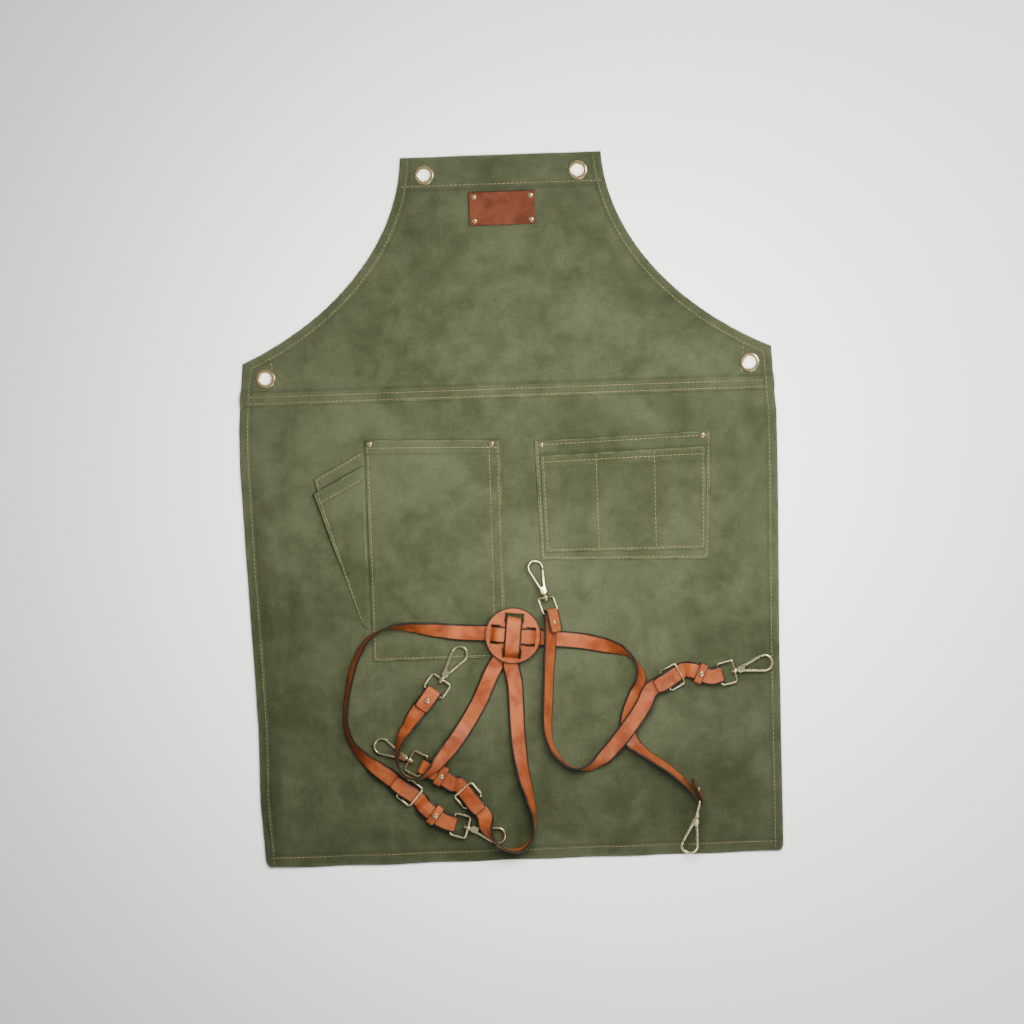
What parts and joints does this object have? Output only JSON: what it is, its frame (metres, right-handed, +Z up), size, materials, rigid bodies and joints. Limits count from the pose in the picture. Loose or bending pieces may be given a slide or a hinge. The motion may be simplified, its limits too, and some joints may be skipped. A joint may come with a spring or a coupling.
{
  "type": "canvas work apron with leather harness",
  "caption": "Bib apron of waxed canvas lying flat with patch pockets, eyelets and a cross-back leather harness with a slotted disc, buckles and snap hooks laid on it.",
  "frame": {"origin": "on the surface that the apron lies on, under the middle of the apron's length and width", "axes": "+X to the right of the picture, +Y from the hem towards the bib, +Z up, out of the apron's front"},
  "size_m": [0.5746, 0.757, 0.0301],
  "materials": {
    "canvas": "waxed olive canvas",
    "leather": "tan, dark painted edges",
    "brass": "polished",
    "pale_brass": "polished, pale"
  },
  "bodies": {
    "apron": {"bib_panel": "canvas", "skirt_panel": "canvas", "pocket_left": "canvas", "pocket_side_back": "canvas", "pocket_side": "canvas", "pocket_right_back": "canvas", "pocket_right": "canvas", "label": "leather", "label_rivet_1": "brass", "label_rivet_2": "brass", "label_rivet_3": "brass", "label_rivet_4": "brass", "pocket_rivet_1": "brass", "pocket_rivet_2": "brass", "pocket_rivet_3": "brass", "pocket_rivet_4": "brass", "eyelet_top_left": "brass", "eyelet_top_right": "brass", "eyelet_side_left": "brass", "eyelet_side_right": "brass", "disc": "leather", "strap_cross": "leather", "strap_down": "leather", "strap_waist": "leather", "tail_left": "leather", "tail_middle": "leather", "tail_right": "leather", "keeper_left": "leather", "keeper_middle": "leather", "keeper_right": "leather", "keeper_rivet_left": "brass", "keeper_rivet_middle": "brass", "keeper_rivet_right": "brass", "end_rivet_top": "brass", "end_rivet_upper": "brass", "end_rivet_lower": "brass", "buckle_left": "pale_brass", "buckle_middle": "pale_brass", "buckle_right": "pale_brass", "hook_left_loop": "pale_brass", "hook_left_bow": "pale_brass", "hook_middle_loop": "pale_brass", "hook_middle_bow": "pale_brass", "hook_right_loop": "pale_brass", "hook_right_bow": "pale_brass", "hook_top_loop": "pale_brass", "hook_top_bow": "pale_brass", "hook_upper_loop": "pale_brass", "hook_upper_bow": "pale_brass", "hook_lower_loop": "pale_brass", "hook_lower_bow": "pale_brass"},
    "gate_left": {"hook_left_gate": "pale_brass"},
    "gate_middle": {"hook_middle_gate": "pale_brass"},
    "gate_right": {"hook_right_gate": "pale_brass"},
    "gate_top": {"hook_top_gate": "pale_brass"},
    "gate_upper": {"hook_upper_gate": "pale_brass"},
    "gate_lower": {"hook_lower_gate": "pale_brass"}
  },
  "joints": [
    {"name": "gate_left_hinge", "type": "hinge", "parent": "apron", "child": "gate_left", "pos_m": [-0.05088, -0.34706, 0.00554], "axis": [0.0598, -0.0191, 0.998], "range_deg": [0, 20], "stiffness_Nm_per_rad": 0.01, "springref_deg": -17.19},
    {"name": "gate_middle_hinge", "type": "hinge", "parent": "apron", "child": "gate_middle", "pos_m": [-0.12788, -0.2602, 0.00554], "axis": [-0.0555, 0.0293, 0.998], "range_deg": [0, 20], "stiffness_Nm_per_rad": 0.01, "springref_deg": -17.19},
    {"name": "gate_right_hinge", "type": "hinge", "parent": "apron", "child": "gate_right", "pos_m": [0.241, -0.17876, 0.00602], "axis": [-0.0443, -0.0098, -0.999], "range_deg": [0, 20], "stiffness_Nm_per_rad": 0.01, "springref_deg": -17.19},
    {"name": "gate_top_hinge", "type": "hinge", "parent": "apron", "child": "gate_top", "pos_m": [0.03073, -0.08768, 0.01006], "axis": [0.3578, 0.2743, 0.8926], "range_deg": [0, 20], "stiffness_Nm_per_rad": 0.01, "springref_deg": -17.19},
    {"name": "gate_upper_hinge", "type": "hinge", "parent": "apron", "child": "gate_upper", "pos_m": [-0.07805, -0.17233, 0.00545], "axis": [0, 0, -1], "range_deg": [0, 20], "stiffness_Nm_per_rad": 0.01, "springref_deg": -17.19},
    {"name": "gate_lower_hinge", "type": "hinge", "parent": "apron", "child": "gate_lower", "pos_m": [0.17998, -0.34437, 0.0146], "axis": [-0.0054, -0.0198, 0.9998], "range_deg": [0, 20], "stiffness_Nm_per_rad": 0.01, "springref_deg": -17.19}
  ]
}
